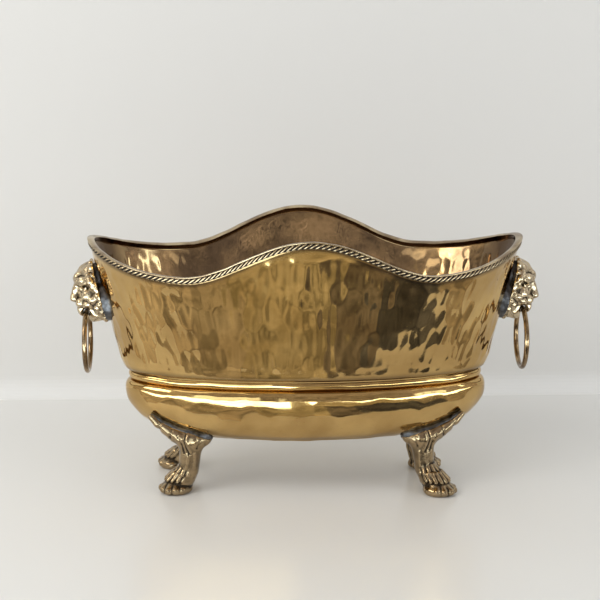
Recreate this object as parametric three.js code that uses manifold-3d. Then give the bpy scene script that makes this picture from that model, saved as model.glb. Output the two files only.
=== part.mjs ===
// Oval hammered-brass planter: a flared upper wall on a bulged lower bowl, a waved lip with a rope
// moulding under it, two lion masks that carry swinging rings, and four lion-paw feet.
// Millimetres, +Z up, +X along the long axis, origin on the ground under the middle of the pot.
import * as THREE from "three";
import { mergeVertices } from "three/addons/utils/BufferGeometryUtils.js";
import Module from "manifold-3d";

const wasm = await Module();
wasm.setup();

// ---------------------------------------------------------------- driving dimensions
const GAP = 0.3;                 // clearance between pieces that touch or are soldered
const SHEET = 1.2;               // thickness of the brass sheet
const AROUND = 64;               // facets round the oval

const RIM_HALF_LENGTH = 181.2;   // outer edge of the lip, along X
const RIM_HALF_WIDTH = 102;      // outer edge of the lip, along Y
const RIM_END_Z = 213.5;         // top of the lip at the two ends
const RIM_DIP_Z = 194.5;         // top of the lip at its four low points
const RIM_PEAK_Z = 224.7;        // top of the lip at the middle of the long sides
const DIP_ANGLE = THREE.MathUtils.degToRad(56);  // where the low points are, round the oval
const LIP_WIDTH = 6;
const LIP_THICKNESS = 1.1;
const WALL_INSET = 2.6;          // from the lip's outer edge to the outside of the wall's upright collar
const ROPE_HEIGHT = 4.4;         // the rope is half-round, flat against the collar
const ROPE_DEPTH = 1.8;

const WALL_LOW = { a: 156, b: 61.2, z: 112 };       // where the straight flare begins
const WALL_TUCK = { a: 152.6, b: 58.2, z: 104.6 };  // where the wall tucks in to the waist
const FLANGE = { a: 148.8, b: 54.8, z: 101.2 };     // outer edge of the wall's bottom flange
const NECK = { a: 146.2, b: 52.2 };                 // outside of the bowl's upright neck
const NECK_TOP_Z = 100.9;
const NECK_LOW_Z = 93.1;
const BEAD_WIDTH = 3.2;                             // how far the waist bead stands out

const BOWL_WIDEST = { a: 152.4, b: 59, z: 84.5 };
const BOWL_BOTTOM_Z = 47.2;
const PLATE = { a: 101.5, b: 36.8 };                // base plate, soldered in from inside

const MASK_TILT = THREE.MathUtils.degToRad(13.5);   // the slope of the wall behind it
const MASK_X = 171.3;            // middle of the mask's flat back
const MASK_Z = 168;
const MASK_HALF_WIDTH = 21;
const MASK_HALF_HEIGHT = 27;
const MASK_DOME = 11;            // how far the cheeks and mane stand out
const MUZZLE_HALF_WIDTH = 7.8;
const MOUTH = { out: 16, up: -14.4, radius: 4.2 };  // hole for the ring, along Y
const MASK_PAD = { depth: 12, width: 36, height: 32, up: -9.5 };  // solder behind the mask's lower part
const CUT = 80;                  // size of a cutting block, larger than any mask

const RING_WIRE_RADIUS = 2.2;
const RING_RADIUS = 25.25;       // to the middle of the wire

const FOOT_SOLDER = 2;           // solder between a foot and the bowl
const DOWN_SHARE = 0.8;          // how a margin round the bowl splits between down and outwards
const OUT_SHARE = 0.6;
const LEG = { x: 97, y: -29 };   // middle of the ankle of the foot at +X, -Y
const TOE_ANGLE = THREE.MathUtils.degToRad(-28);    // where that foot's toes point
const PAW_HEIGHT = 45;

const BRASS = { color: 0xb08d4a, roughness: 0.22, metalness: 1 };
const PALE_BRASS = { color: 0xc2a878, roughness: 0.3, metalness: 1 };
const OLD_BRASS = { color: 0x8a6b3c, roughness: 0.4, metalness: 1 };
const SOLDER = { color: 0x77746c, roughness: 0.5, metalness: 0.9 };

// ---------------------------------------------------------------- geometry helpers
function triangleVolume(a, b, c) {
  return a.dot(b.clone().cross(c)) / 6;
}

// A closed mesh from shared points and triangles, turned so that its faces point out.
function closedMesh(points, triangles) {
  const volume = triangles.reduce(
    (sum, [i, j, k]) => sum + triangleVolume(points[i], points[j], points[k]), 0);
  const faces = volume > 0 ? triangles : triangles.map(([i, j, k]) => [i, k, j]);
  const geometry = new THREE.BufferGeometry().setFromPoints(points);
  geometry.setIndex(faces.flat());
  geometry.computeVertexNormals();
  return geometry;
}

// One level of an oval: half-axes a and b, moved in by inset, at a height that may vary round it.
function level(a, b, z, inset = 0) {
  return (angle) => {
    const normal = new THREE.Vector2(b * Math.cos(angle), a * Math.sin(angle)).normalize();
    const height = typeof z === "function" ? z(angle) : z;
    return new THREE.Vector3(
      a * Math.cos(angle) - inset * normal.x, b * Math.sin(angle) - inset * normal.y, height);
  };
}

function ovalGrid(levels) {
  const points = [];
  const triangles = [];
  for (let i = 0; i < AROUND; i += 1) {
    const angle = (2 * Math.PI * i) / AROUND;
    points.push(...levels.map((at) => at(angle)));
  }
  const index = (i, j) => (i % AROUND) * levels.length + (j % levels.length);
  const quad = (i, j) => {
    triangles.push([index(i, j), index(i + 1, j), index(i + 1, j + 1)]);
    triangles.push([index(i, j), index(i + 1, j + 1), index(i, j + 1)]);
  };
  return { points, triangles, index, quad };
}

// A ring-shaped solid: the levels go once round its cross-section.
function ovalRing(levels) {
  const { points, triangles, quad } = ovalGrid(levels);
  for (let i = 0; i < AROUND; i += 1) {
    for (let j = 0; j < levels.length; j += 1) {
      quad(i, j);
    }
  }
  return closedMesh(points, triangles);
}

// A full solid: the levels go from bottom to top, and both ends are closed flat.
function ovalSolid(levels) {
  const { points, triangles, index, quad } = ovalGrid(levels);
  const last = levels.length - 1;
  const bottom = points.push(new THREE.Vector3(0, 0, levels[0](0).z)) - 1;
  const top = points.push(new THREE.Vector3(0, 0, levels[last](0).z)) - 1;
  for (let i = 0; i < AROUND; i += 1) {
    for (let j = 0; j < last; j += 1) {
      quad(i, j);
    }
    triangles.push([bottom, index(i + 1, 0), index(i, 0)]);
    triangles.push([top, index(i, last), index(i + 1, last)]);
  }
  return closedMesh(points, triangles);
}

function toSolid(geometry) {
  const bare = geometry.clone();
  bare.deleteAttribute("normal");
  bare.deleteAttribute("uv");
  const merged = mergeVertices(bare, 1e-4);
  return new wasm.Manifold(new wasm.Mesh({
    numProp: 3,
    vertProperties: new Float32Array(merged.attributes.position.array),
    triVerts: new Uint32Array(merged.index.array),
  }));
}

function toGeometry(solid) {
  const mesh = solid.getMesh();
  const geometry = new THREE.BufferGeometry();
  geometry.setAttribute("position", new THREE.BufferAttribute(mesh.vertProperties, 3));
  geometry.setIndex(new THREE.BufferAttribute(mesh.triVerts, 1));
  geometry.computeVertexNormals();
  return geometry;
}

// The mirror image across the plane X = 0, with its faces still pointing out.
function mirroredX(geometry) {
  const copy = geometry.clone();
  copy.applyMatrix4(new THREE.Matrix4().makeScale(-1, 1, 1));
  const index = copy.index.array;
  for (let i = 0; i < index.length; i += 3) {
    const kept = index[i + 1];
    index[i + 1] = index[i + 2];
    index[i + 2] = kept;
  }
  copy.computeVertexNormals();
  return copy;
}

// A flat outline pushed along Z by depth, from z = 0.
function prism(outline, depth) {
  const shape = new THREE.Shape(outline.map(([x, y]) => new THREE.Vector2(x, y)));
  return new THREE.ExtrudeGeometry(shape, { depth, bevelEnabled: false });
}

function namedMesh(name, geometry, look) {
  const mesh = new THREE.Mesh(geometry, new THREE.MeshStandardMaterial(look));
  mesh.name = name;
  return mesh;
}

// ---------------------------------------------------------------- rim
// The lip rises to the ends and to the middle of the long sides, with four dips between them.
function rimHeight(angle) {
  const quarter = Math.asin(Math.abs(Math.sin(angle)));
  const ease = (t) => (1 - Math.cos(Math.PI * t)) / 2;
  if (quarter < DIP_ANGLE) {
    return RIM_DIP_Z + (RIM_END_Z - RIM_DIP_Z) * ease(1 - quarter / DIP_ANGLE);
  }
  const rise = (quarter - DIP_ANGLE) / (Math.PI / 2 - DIP_ANGLE);
  return RIM_DIP_Z + (RIM_PEAK_Z - RIM_DIP_Z) * ease(rise);
}

const belowRim = (drop) => (angle) => rimHeight(angle) - drop;
const rimLevel = (inset, drop) => level(RIM_HALF_LENGTH, RIM_HALF_WIDTH, belowRim(drop), inset);
const COLLAR_TOP_DROP = LIP_THICKNESS + GAP;
const ROPE_DROP = COLLAR_TOP_DROP + ROPE_HEIGHT / 2;
const COLLAR_FOOT_DROP = COLLAR_TOP_DROP + ROPE_HEIGHT + GAP;

function rimLip() {
  return ovalRing([
    rimLevel(0, 0),
    rimLevel(0, LIP_THICKNESS),
    rimLevel(LIP_WIDTH, LIP_THICKNESS),
    rimLevel(LIP_WIDTH, 0),
  ]);
}

function ropeTrim() {
  const steps = 5;
  const section = Array.from({ length: steps + 1 }, (_, i) => {
    const turn = (Math.PI * i) / steps;
    const inset = WALL_INSET - GAP - ROPE_DEPTH * Math.sin(turn);
    return rimLevel(inset, ROPE_DROP - (ROPE_HEIGHT / 2) * Math.cos(turn));
  });
  return ovalRing(section);
}

// ---------------------------------------------------------------- body
// Outside of the upper wall from the tuck to the top of its upright collar, grown by a margin.
function wallOutside(margin = 0) {
  return [
    level(WALL_TUCK.a, WALL_TUCK.b, WALL_TUCK.z, -margin),
    level(WALL_LOW.a, WALL_LOW.b, WALL_LOW.z, -margin),
    rimLevel(WALL_INSET - margin, COLLAR_FOOT_DROP),
    rimLevel(WALL_INSET - margin, COLLAR_TOP_DROP),
  ];
}

function upperWall() {
  const flangeInset = FLANGE.a - NECK.a - GAP;
  return ovalRing([
    level(FLANGE.a, FLANGE.b, FLANGE.z),
    ...wallOutside(),
    rimLevel(WALL_INSET + SHEET, COLLAR_TOP_DROP),
    rimLevel(WALL_INSET + SHEET, COLLAR_FOOT_DROP),
    level(WALL_LOW.a, WALL_LOW.b, WALL_LOW.z, SHEET),
    level(WALL_TUCK.a, WALL_TUCK.b, WALL_TUCK.z + SHEET, SHEET),
    level(FLANGE.a, FLANGE.b, FLANGE.z + SHEET, flangeInset),
    level(FLANGE.a, FLANGE.b, FLANGE.z, flangeInset),
  ]);
}

function waistBead() {
  const steps = 5;
  const inside = -GAP;
  const bottom = NECK_LOW_Z + 2 * GAP;
  const top = NECK_TOP_Z;
  const section = [level(NECK.a, NECK.b, top, inside), level(NECK.a, NECK.b, bottom, inside)];
  for (let i = 1; i < steps; i += 1) {
    const turn = (Math.PI * i) / steps;
    const height = (top + bottom) / 2 - ((top - bottom) / 2) * Math.cos(turn);
    section.push(level(NECK.a, NECK.b, height, inside - BEAD_WIDTH * Math.sin(turn)));
  }
  return ovalRing(section);
}

// Outside of the bowl from the shoulder down to the base: half-axes and height.
const bowlOutline = [
  [149.2, 55.8, 92.6],
  [151.8, 58.3, 89.4],
  [BOWL_WIDEST.a, BOWL_WIDEST.b, BOWL_WIDEST.z],
  [151.3, 58.4, 77.5],
  [148.4, 57, 71],
  [143.2, 54.8, 64],
  [136.5, 52, 58.2],
  [127, 48.2, 53],
  [115, 43.4, 49.4],
  [105, 39.4, BOWL_BOTTOM_Z],
];
const BASE_OPENING = { a: 94, b: 31.5 };

function lowerBowl() {
  const outside = bowlOutline.map(([a, b, z]) => level(a, b, z));
  const inside = bowlOutline.map(([a, b, z]) => {
    const lift = SHEET * THREE.MathUtils.clamp((BOWL_WIDEST.z - z) / (BOWL_WIDEST.z - BOWL_BOTTOM_Z), 0, 1);
    return level(a, b, z + lift, SHEET);
  });
  return ovalRing([
    level(NECK.a, NECK.b, NECK_TOP_Z, SHEET),
    level(NECK.a, NECK.b, NECK_TOP_Z),
    level(NECK.a, NECK.b, NECK_LOW_Z),
    ...outside,
    level(BASE_OPENING.a, BASE_OPENING.b, BOWL_BOTTOM_Z),
    level(BASE_OPENING.a, BASE_OPENING.b, BOWL_BOTTOM_Z + SHEET),
    ...inside.reverse(),
    level(NECK.a, NECK.b, NECK_LOW_Z - SHEET, SHEET),
  ]);
}

function basePlate() {
  const bottom = BOWL_BOTTOM_Z + SHEET + GAP;
  return ovalSolid([level(PLATE.a, PLATE.b, bottom), level(PLATE.a, PLATE.b, bottom + SHEET)]);
}

// The bowl as a full solid grown by a margin, for cutting what sits against it.
function grownBowl(margin) {
  const levels = [...bowlOutline].reverse().map(([a, b, z]) => {
    const down = z < BOWL_WIDEST.z ? margin : 0;
    return level(a, b, z - down * DOWN_SHARE, -margin * OUT_SHARE);
  });
  return toSolid(ovalSolid(levels));
}

// ---------------------------------------------------------------- paw feet
// Cross-sections of the leg and paw: height, shift towards the toes, half-length and half-width.
const legSections = [
  [0, 14, 17.5, 12],
  [3, 14, 19.5, 13.5],
  [9, 13.5, 18, 13.5],
  [15, 10, 14, 12],
  [20, 5, 10.5, 9.5],
  [27, 0.5, 8.5, 8],
  [34, 0, 8, 8],
  [PAW_HEIGHT, -1, 11.5, 12],
  [PAW_HEIGHT + 10, -1, 13, 13],
];

function legSolid() {
  const sides = 12;
  const points = [];
  const triangles = [];
  for (const [z, shift, halfLength, halfWidth] of legSections) {
    for (let i = 0; i < sides; i += 1) {
      const turn = (2 * Math.PI * i) / sides;
      const along = shift + halfLength * Math.cos(turn);
      const across = halfWidth * Math.sin(turn);
      points.push(new THREE.Vector3(
        LEG.x + along * Math.cos(TOE_ANGLE) - across * Math.sin(TOE_ANGLE),
        LEG.y + along * Math.sin(TOE_ANGLE) + across * Math.cos(TOE_ANGLE), z));
    }
  }
  const last = (legSections.length - 1) * sides;
  for (let i = 0; i < sides; i += 1) {
    const next = (i + 1) % sides;
    for (let row = 0; row < last; row += sides) {
      triangles.push([row + i, row + next, row + sides + next]);
      triangles.push([row + i, row + sides + next, row + sides + i]);
    }
  }
  for (let i = 1; i < sides - 1; i += 1) {
    triangles.push([0, i + 1, i]);
    triangles.push([last, last + i, last + i + 1]);
  }
  return toSolid(closedMesh(points, triangles));
}

// The bracket under the bowl, seen from above and from the side: it ends in a leaf tip at +X.
const BRACKET_TOP = 90;
const bracketPlan = [
  [80, -41], [100, -34.5], [118, -29], [128, -25], [132, -20], [127, -14], [110, -13], [92, -16], [80, -22],
];
const bracketSide = [
  [79, BRACKET_TOP], [79, 48], [86, 40], [89, 34], [104, 34], [110, 43], [118, 49.5], [126, 54.5], [132, 61],
  [133, BRACKET_TOP],
];

function bracketColumn() {
  return toSolid(prism(bracketPlan, BRACKET_TOP));
}

function bracketSolid() {
  const side = prism(bracketSide, BRACKET_TOP);
  side.rotateX(Math.PI / 2);
  return bracketColumn().intersect(toSolid(side));
}

function footPieces() {
  const foot = legSolid().add(bracketSolid()).subtract(grownBowl(FOOT_SOLDER + 2 * GAP));
  const bed = bracketColumn().intersect(grownBowl(FOOT_SOLDER + GAP)).subtract(grownBowl(GAP));
  return { foot: toGeometry(foot.decompose()[0]), bed: toGeometry(bed) };
}

// ---------------------------------------------------------------- lion masks and rings
// A mask's side view: how far each point stands out from its flat back, and how high it is.
const maskProfile = [
  [-0.5, -25.8], [14.5, -21.8], [20.6, -17.4], [22.6, -10.7], [22.8, -6], [26.4, -1.6], [26.2, 1.4],
  [21, 6], [18.1, 10.1], [19.5, 14.5], [11, 19], [-0.5, 26.5],
];

// Turns a shape whose X is outwards and Z is up the mask into its place at the +X end.
function placeOnEnd(geometry) {
  geometry.rotateY(MASK_TILT);
  geometry.translate(MASK_X, 0, MASK_Z);
  return geometry;
}

function lionMask() {
  const dome = new THREE.SphereGeometry(1, 20, 12);
  dome.rotateX(Math.PI / 2);
  dome.scale(MASK_DOME, MASK_HALF_WIDTH, MASK_HALF_HEIGHT);
  const face = prism(maskProfile, 2 * MUZZLE_HALF_WIDTH);
  face.rotateX(Math.PI / 2);
  face.translate(0, MUZZLE_HALF_WIDTH, 0);
  const behind = new THREE.BoxGeometry(CUT, CUT, CUT);
  behind.translate(-CUT / 2, 0, 0);
  const hole = new THREE.CylinderGeometry(MOUTH.radius, MOUTH.radius, CUT, 16);
  hole.translate(MOUTH.out, 0, MOUTH.up);
  const mask = toSolid(dome).add(toSolid(face)).subtract(toSolid(behind)).subtract(toSolid(hole));
  return placeOnEnd(toGeometry(mask));
}

function maskSolder() {
  const pad = new THREE.BoxGeometry(MASK_PAD.depth, MASK_PAD.width, MASK_PAD.height);
  pad.translate(-MASK_PAD.depth / 2 - GAP, 0, MASK_PAD.up);
  const wall = ovalSolid(wallOutside(GAP));
  return toGeometry(toSolid(placeOnEnd(pad)).subtract(toSolid(wall)));
}

function ringCentre() {
  const outwards = new THREE.Vector3(MOUTH.out, 0, MOUTH.up);
  outwards.applyAxisAngle(new THREE.Vector3(0, 1, 0), MASK_TILT);
  return new THREE.Vector3(MASK_X + outwards.x, 0, MASK_Z + outwards.z - RING_RADIUS);
}

function swingingRing() {
  const ring = new THREE.TorusGeometry(RING_RADIUS, RING_WIRE_RADIUS, 8, 32);
  ring.rotateY(Math.PI / 2);
  return ring;
}

// ---------------------------------------------------------------- assembly
const planter = new THREE.Group();

planter.add(
  namedMesh("upper_wall", upperWall(), BRASS),
  namedMesh("rim_lip", rimLip(), PALE_BRASS),
  namedMesh("rope_trim", ropeTrim(), PALE_BRASS),
  namedMesh("waist_bead", waistBead(), BRASS),
  namedMesh("lower_bowl", lowerBowl(), BRASS),
  namedMesh("base_plate", basePlate(), BRASS),
);

const { foot, bed } = footPieces();
const corners = [
  { place: "front_right", mirror: false, turn: 0 },
  { place: "front_left", mirror: true, turn: 0 },
  { place: "back_left", mirror: false, turn: Math.PI },
  { place: "back_right", mirror: true, turn: Math.PI },
];
for (const { place, mirror, turn } of corners) {
  const corner = new THREE.Group();
  corner.add(namedMesh(`paw_foot_${place}`, mirror ? mirroredX(foot) : foot, OLD_BRASS));
  corner.add(namedMesh(`foot_solder_${place}`, mirror ? mirroredX(bed) : bed, SOLDER));
  corner.rotation.z = turn;
  planter.add(corner);
}

for (const { place, turn } of [{ place: "right", turn: 0 }, { place: "left", turn: Math.PI }]) {
  const handle = new THREE.Group();
  const ring = namedMesh(`ring_${place}`, swingingRing(), OLD_BRASS);
  ring.position.copy(ringCentre());
  handle.add(namedMesh(`lion_mask_${place}`, lionMask(), OLD_BRASS));
  handle.add(namedMesh(`mask_solder_${place}`, maskSolder(), SOLDER));
  handle.add(ring);
  handle.rotation.z = turn;
  planter.add(handle);
}

export default planter;
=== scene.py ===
"""Looks of the oval hammered-brass planter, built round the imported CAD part.

Lengths are in millimetres in the row frame and become metres when a mesh is made.
"""
import math

import bpy
import numpy as np
from mathutils import Matrix, Vector


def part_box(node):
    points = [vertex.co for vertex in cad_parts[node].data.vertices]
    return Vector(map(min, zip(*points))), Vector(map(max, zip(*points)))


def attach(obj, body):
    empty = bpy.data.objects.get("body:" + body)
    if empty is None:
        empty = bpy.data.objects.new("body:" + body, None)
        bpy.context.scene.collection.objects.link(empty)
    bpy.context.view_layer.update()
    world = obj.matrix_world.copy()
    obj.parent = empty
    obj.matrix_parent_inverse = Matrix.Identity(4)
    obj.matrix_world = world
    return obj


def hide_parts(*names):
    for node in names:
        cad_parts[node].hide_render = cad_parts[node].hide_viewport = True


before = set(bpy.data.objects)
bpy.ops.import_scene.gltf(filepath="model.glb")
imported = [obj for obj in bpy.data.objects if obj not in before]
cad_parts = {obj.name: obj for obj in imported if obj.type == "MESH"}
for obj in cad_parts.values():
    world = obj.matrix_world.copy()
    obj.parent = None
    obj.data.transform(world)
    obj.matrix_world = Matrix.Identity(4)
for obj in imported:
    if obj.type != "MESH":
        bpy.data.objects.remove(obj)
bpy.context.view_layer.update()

MM = 0.001
SEED = 7


def box_mm(node):
    """Lowest and highest corner of a CAD node in millimetres."""
    low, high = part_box(node)
    return np.array(low) / MM, np.array(high) / MM


# ------------------------------------------------------------------ driving dimensions
LIP_LOW, LIP_HIGH = box_mm("rim_lip")
WALL_LOW_CORNER = box_mm("upper_wall")[0]
BOWL_LOW_CORNER = box_mm("lower_bowl")[0]
BEAD_LOW, BEAD_HIGH = box_mm("waist_bead")
PLATE_HIGH = box_mm("base_plate")[1]
RING_LOW, RING_HIGH = box_mm("ring_right")

SHEET = 1.2                            # thickness of the brass sheet
LIP_THICKNESS = 1.1
LIP_WIDTH = 6
RIM = (LIP_HIGH[0], LIP_HIGH[1])       # half-axes of the lip's outer edge
PEAK_Z = LIP_HIGH[2]
DIP_Z = LIP_LOW[2] + LIP_THICKNESS
END_Z = DIP_Z + 19                     # the lip's top at the two ends of the long axis
DIP_ANGLE = math.radians(56)
WALL_INSET = 2.6                       # from the lip's outer edge to the wall's upright collar
COLLAR_FOOT_DROP = 6.1                 # from the lip's top to where the collar meets the flare
ROPE_HEIGHT = 4.8                      # the rope is half-round, flat against the collar
ROPE_DEPTH = 2.1
ROPE_DROP = LIP_THICKNESS + ROPE_HEIGHT / 2 + 0.05
STRAND_PITCH = 4.6                     # from strand to strand along the rope
WALL_BOW = 1.2                         # how far the long sides curve in between root and collar

FLANGE_Z = WALL_LOW_CORNER[2]
FLANGE = (148.8, 54.8, FLANGE_Z)       # half-axes and height of the wall's bottom flange
WALL_ROOT = (156, 61.2, FLANGE_Z + 10.8)
NECK = (146.2, 52.2)
BOWL_BOTTOM_Z = BOWL_LOW_CORNER[2]
BOWL_OUTLINE = [                       # half-axes and height above the bowl's bottom
    (146.2, 52.2, 53.7), (146.2, 52.2, 46.6), (149.6, 56.1, 45.4), (151.8, 58.3, 42.2), (152.4, 59, 37.3),
    (151.3, 58.4, 30.3), (148.4, 57, 23.8), (143.2, 54.8, 16.8), (136.5, 52, 11), (127, 48.2, 5.8),
    (115, 43.4, 2.2), (105, 39.4, 0), (94, 31.5, 0),
]


# ------------------------------------------------------------------ mesh helpers
def mesh_object(name, points, faces, materials, sharp=None):
    """A smooth-shaded object from points in millimetres; edges sharper than sharp degrees stay crisp.

    The faces are an array, or a list where their sizes differ.
    """
    mesh = bpy.data.meshes.new(name)
    mesh.from_pydata((points * MM).tolist(), [], faces if isinstance(faces, list) else faces.tolist())
    mesh.polygons.foreach_set("use_smooth", np.ones(len(mesh.polygons), bool))
    if sharp is not None:
        mesh.set_sharp_from_angle(angle=math.radians(sharp))
    for material in materials:
        mesh.materials.append(material)
    obj = bpy.data.objects.new(name, mesh)
    bpy.context.scene.collection.objects.link(obj)
    return obj


def loop_faces(around, rows, closed=True):
    """Quads of a lattice that closes round its first direction, and round its rows too if closed."""
    i, j = np.meshgrid(np.arange(around), np.arange(rows if closed else rows - 1), indexing="ij")
    ahead, up = (i + 1) % around, (j + 1) % rows
    quads = np.stack([i * rows + j, ahead * rows + j, ahead * rows + up, i * rows + up], axis=-1)
    return quads.reshape(-1, 4)


def store(obj, name, values):
    """Keeps one number for each vertex, for the material to read."""
    attribute = obj.data.attributes.new(name, "FLOAT", "POINT")
    attribute.data.foreach_set("value", np.asarray(values, np.float32).ravel())


def install(obj, body, slot, *nodes):
    """The piece rides on a body and stands for CAD nodes, which are hidden; slot is not used."""
    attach(obj, body)
    if nodes:
        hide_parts(*nodes)
    return obj


# ------------------------------------------------------------------ oval surfaces
def oval(angles, a, b, z, inset=0.0):
    """Points round an oval of half-axes a and b, moved in square to its edge by inset."""
    normal = np.stack([b * np.cos(angles), a * np.sin(angles)], -1)
    normal /= np.linalg.norm(normal, axis=-1, keepdims=True)
    x = a * np.cos(angles) - inset * normal[..., 0]
    y = b * np.sin(angles) - inset * normal[..., 1]
    return np.stack([x, y, np.broadcast_to(z, x.shape)], -1)


def angles_round(count):
    return np.arange(count) * 2 * math.pi / count


def ease(t):
    return (1 - np.cos(math.pi * np.clip(t, 0, 1))) / 2


def rim_height(angles):
    """Top of the lip: high at the ends and in the middle of the long sides, with four dips."""
    quarter = np.arcsin(np.abs(np.sin(angles)).clip(0, 1))
    to_end = DIP_Z + (END_Z - DIP_Z) * ease(1 - quarter / DIP_ANGLE)
    to_peak = DIP_Z + (PEAK_Z - DIP_Z) * ease((quarter - DIP_ANGLE) / (math.pi / 2 - DIP_ANGLE))
    return np.where(quarter < DIP_ANGLE, to_end, to_peak)


def rim_level(angles, inset, drop):
    return oval(angles, *RIM, rim_height(angles) - drop, inset)


def lattice_normals(points):
    """Unit normals of a lattice that closes round its first direction."""
    along = np.roll(points, -1, 0) - np.roll(points, 1, 0)
    up = np.gradient(points, axis=1)
    normals = np.cross(along, up)
    return normals / np.linalg.norm(normals, axis=-1, keepdims=True)


def spline(controls, count):
    """A smooth curve through control points, evenly spaced (Catmull-Rom)."""
    p = np.asarray(controls, float)
    p = np.vstack([2 * p[0] - p[1], p, 2 * p[-1] - p[-2]])
    t = np.linspace(0, 1, 24, endpoint=False)[:, None]
    parts = []
    for p0, p1, p2, p3 in zip(p, p[1:], p[2:], p[3:]):
        bend = 2 * p0 - 5 * p1 + 4 * p2 - p3
        twist = -p0 + 3 * p1 - 3 * p2 + p3
        parts.append((2 * p1 + (p2 - p0) * t + bend * t ** 2 + twist * t ** 3) / 2)
    curve = np.vstack([*parts, p[-2:-1]])
    length = np.append(0, np.cumsum(np.linalg.norm(np.diff(curve, axis=0), axis=1)))
    even = np.linspace(0, length[-1], count)
    return np.stack([np.interp(even, length, curve[:, k]) for k in range(p.shape[1])], -1)


def ripple(points, wavelength, seed, waves=7):
    """Smooth random field, about -1 to 1, from waves in random directions."""
    rng = np.random.default_rng(seed)
    total = np.zeros(points.shape[:-1])
    for _ in range(waves):
        direction = rng.normal(size=3)
        direction *= 2 * math.pi / (wavelength * rng.uniform(0.7, 1.5) * np.linalg.norm(direction))
        total += np.sin(points @ direction + rng.uniform(0, 2 * math.pi))
    return total * math.sqrt(2 / waves) / 1.5


def blurred(field, passes):
    """Softens a field on a lattice that closes round its first direction."""
    for _ in range(passes):
        field = (np.roll(field, 1, 0) + 2 * field + np.roll(field, -1, 0)) / 4
        padded = np.pad(field, ((0, 0), (1, 1)), mode="edge")
        field = (padded[:, :-2] + 2 * padded[:, 1:-1] + padded[:, 2:]) / 4
    return field


def hammer_marks(u, v, round_length, rows, seed):
    """How far the sheet stands out, in mm: blows leave shallow tipped facets with soft ridges between.

    u runs round the pot and v up the sheet. Each row is (v, spacing, half-width, half-height, crest, tip):
    crest is how far a facet's edge stands above its middle, and tip how much it leans at random.
    """
    rng = np.random.default_rng(seed)
    stands = np.full(v.shape, 1.0)
    for row, (middle, spacing, half_width, half_height, crest, tip) in enumerate(rows):
        count = int(round_length / spacing)
        for i in range(count):
            cu = (i + 0.5 * (row % 2) + rng.uniform(-0.3, 0.3)) * round_length / count
            cv = middle + rng.uniform(-0.45, 0.45) * half_height
            width = half_width * rng.uniform(0.8, 1.25)
            height = half_height * rng.uniform(0.75, 1.3)
            tip_u, tip_v, lift = rng.normal(0, tip, 3)
            du = (u - cu + round_length / 2) % round_length - round_length / 2
            near = np.flatnonzero(np.abs(du) < 2.5 * width)
            du = (du[near] / width)[:, None]
            dv = (v[near] - cv) / height
            facet = crest * (du ** 2 + dv ** 2) + tip_u * du + tip_v * dv + 0.5 * lift
            stands[near] = np.minimum(stands[near], facet)
    return stands


def shell(name, outer, thickness, materials, sharp=60):
    """Sheet metal: the outer lattice, and an inner one a thickness behind it, closed at both edges."""
    inner = outer - lattice_normals(outer) * np.broadcast_to(thickness, outer.shape[:2])[..., None]
    points = np.concatenate([outer, inner[:, ::-1]], axis=1)
    around, rows = points.shape[:2]
    obj = mesh_object(name, points.reshape(-1, 3), loop_faces(around, rows), materials, sharp)
    row_of_face = np.tile(np.arange(rows), around)
    obj.data.polygons.foreach_set("material_index", (row_of_face >= outer.shape[1]).astype(np.int32))
    return obj


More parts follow.
